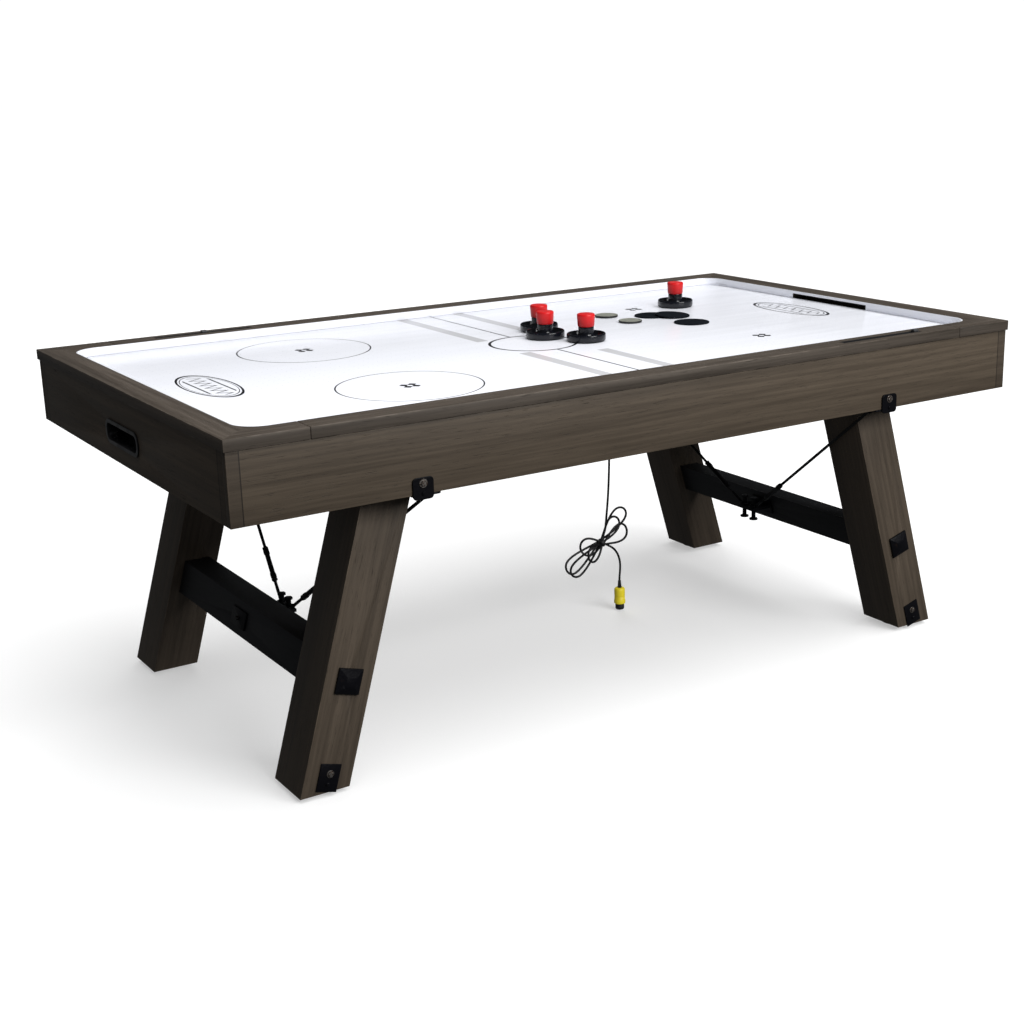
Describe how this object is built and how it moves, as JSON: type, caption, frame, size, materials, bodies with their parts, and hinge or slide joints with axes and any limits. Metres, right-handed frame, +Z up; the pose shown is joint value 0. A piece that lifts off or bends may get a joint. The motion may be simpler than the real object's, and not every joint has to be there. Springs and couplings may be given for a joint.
{
  "type": "air hockey table",
  "caption": "Air hockey table with a white rink in a dark wooden cabinet, splayed legs with stretchers and iron braces, a blower with a hanging cord, pushers, pucks and felt pads.",
  "frame": {"origin": "on the floor, under the middle of the table", "axes": "+X along the length of the rink, towards the end whose goal the picture shows; +Y towards the rear side; +Z up"},
  "size_m": [2.134, 1.2296, 0.8736],
  "materials": {
    "rail_wood": "grey-brown weathered stain, satin",
    "cabinet_wood": "dark weathered stain, satin, grain lengthways",
    "leg_wood": "dark weathered stain, satin, grain along the leg",
    "stretcher_wood": "near-black stain, satin",
    "frame_wood": "bare softwood",
    "chamber_board": "bare hardboard",
    "playfield_laminate": "white laminate with printed markings, low gloss",
    "rink_wall_plastic": "white, low gloss",
    "black_plastic": "black, fine texture",
    "scorer_marker": "grey, satin",
    "black_iron": "black powder coat",
    "foot_iron": "black paint on steel",
    "blower_plastic": "black",
    "motor_steel": "bare steel can",
    "cord_jacket": "black flexible sheath",
    "plug_plastic": "yellow",
    "pusher_black": "black, glossy",
    "pusher_red": "bright red, glossy",
    "puck_plastic": "pale grey, polished",
    "felt": "black felt"
  },
  "bodies": {
    "table": {"air_chamber_floor": "chamber_board", "apron_front": "cabinet_wood", "apron_left": "cabinet_wood", "apron_rear": "cabinet_wood", "apron_right": "cabinet_wood", "blower_housing": "blower_plastic", "blower_motor": "motor_steel", "brace_anchor_left": "black_iron", "brace_anchor_right": "black_iron", "brace_front_left": "black_iron", "brace_front_right": "black_iron", "brace_rear_left": "black_iron", "brace_rear_right": "black_iron", "cabinet_frame": "frame_wood", "cord_drop": "cord_jacket", "cord_hank": "cord_jacket", "cord_tail": "cord_jacket", "goal_tray_left": "black_plastic", "goal_tray_right": "black_plastic", "leg_bolt_front_left": "black_iron", "leg_bolt_front_right": "black_iron", "leg_bolt_rear_left": "black_iron", "leg_bolt_rear_right": "black_iron", "leg_front_left": "leg_wood", "leg_front_right": "leg_wood", "leg_rear_left": "leg_wood", "leg_rear_right": "leg_wood", "playfield": "playfield_laminate", "plug": "plug_plastic", "puck_return_left": "black_plastic", "puck_return_right": "black_plastic", "rail_front": "rail_wood", "rail_left": "rail_wood", "rail_rear": "rail_wood", "rail_right": "rail_wood", "rink_wall": "rink_wall_plastic", "scorer_track_front": "black_plastic", "scorer_track_rear": "black_plastic", "stretcher_left": "stretcher_wood", "stretcher_right": "stretcher_wood"},
    "foot_front_left": {"levelling_foot_front_left": "foot_iron"},
    "foot_front_right": {"levelling_foot_front_right": "foot_iron"},
    "foot_rear_left": {"levelling_foot_rear_left": "foot_iron"},
    "foot_rear_right": {"levelling_foot_rear_right": "foot_iron"},
    "scorer_marker_front": {"scorer_slider_front": "scorer_marker"},
    "scorer_marker_rear": {"scorer_slider_rear": "scorer_marker"},
    "impeller": {"blower_impeller": "blower_plastic"},
    "pusher_1": {"pusher_base_1": "pusher_black", "pusher_knob_1": "pusher_red"},
    "pusher_2": {"pusher_base_2": "pusher_black", "pusher_knob_2": "pusher_red"},
    "pusher_3": {"pusher_base_3": "pusher_black", "pusher_knob_3": "pusher_red"},
    "pusher_4": {"pusher_base_4": "pusher_black", "pusher_knob_4": "pusher_red"},
    "loose_puck_1": {"puck_1": "puck_plastic"},
    "loose_puck_2": {"puck_2": "puck_plastic"},
    "loose_pad_1": {"felt_pad_1": "felt"},
    "loose_pad_2": {"felt_pad_2": "felt"},
    "loose_pad_3": {"felt_pad_3": "felt"}
  },
  "joints": [
    {"name": "levelling_front_left", "type": "slide", "parent": "table", "child": "foot_front_left", "axis": [0, 0, 1], "range_m": [-0.012, 0]},
    {"name": "levelling_front_right", "type": "slide", "parent": "table", "child": "foot_front_right", "axis": [0, 0, 1], "range_m": [-0.012, 0]},
    {"name": "levelling_rear_left", "type": "slide", "parent": "table", "child": "foot_rear_left", "axis": [0, 0, 1], "range_m": [-0.012, 0]},
    {"name": "levelling_rear_right", "type": "slide", "parent": "table", "child": "foot_rear_right", "axis": [0, 0, 1], "range_m": [-0.012, 0]},
    {"name": "scorer_front", "type": "slide", "parent": "table", "child": "scorer_marker_front", "axis": [1, 0, 0], "range_m": [-0.225, 0.001]},
    {"name": "scorer_rear", "type": "slide", "parent": "table", "child": "scorer_marker_rear", "axis": [1, 0, 0], "range_m": [-0.112, 0.112]},
    {"name": "impeller_spin", "type": "hinge", "parent": "table", "child": "impeller", "pos_m": [0.19, 0.079, 0.7], "axis": [0, 0, 1], "continuous": true},
    {"name": "pusher_1_glide", "type": "slide", "parent": "table", "child": "pusher_1", "axis": [0, 1, 0], "range_m": [-0.73, 0.23]},
    {"name": "pusher_2_glide", "type": "slide", "parent": "table", "child": "pusher_2", "axis": [1, 0, 0], "range_m": [-1.05, 0.18]},
    {"name": "pusher_3_glide", "type": "slide", "parent": "table", "child": "pusher_3", "axis": [1, 0, 0], "range_m": [-1, 0.22]},
    {"name": "pusher_4_glide", "type": "slide", "parent": "table", "child": "pusher_4", "axis": [1, 0, 0], "range_m": [-1.06, 0.17]},
    {"name": "puck_1_glide", "type": "slide", "parent": "table", "child": "loose_puck_1", "axis": [0, 1, 0], "range_m": [0, 0.28]},
    {"name": "puck_2_glide", "type": "slide", "parent": "table", "child": "loose_puck_2", "axis": [0, 1, 0], "range_m": [-0.6, 0]},
    {"name": "pad_1_glide", "type": "slide", "parent": "table", "child": "loose_pad_1", "axis": [0, 1, 0], "range_m": [0, 0.33]},
    {"name": "pad_2_lift", "type": "slide", "parent": "table", "child": "loose_pad_2", "axis": [0, 0, 1], "range_m": [0, 0.1]},
    {"name": "pad_3_glide", "type": "slide", "parent": "table", "child": "loose_pad_3", "axis": [0, 1, 0], "range_m": [-0.45, 0]}
  ]
}
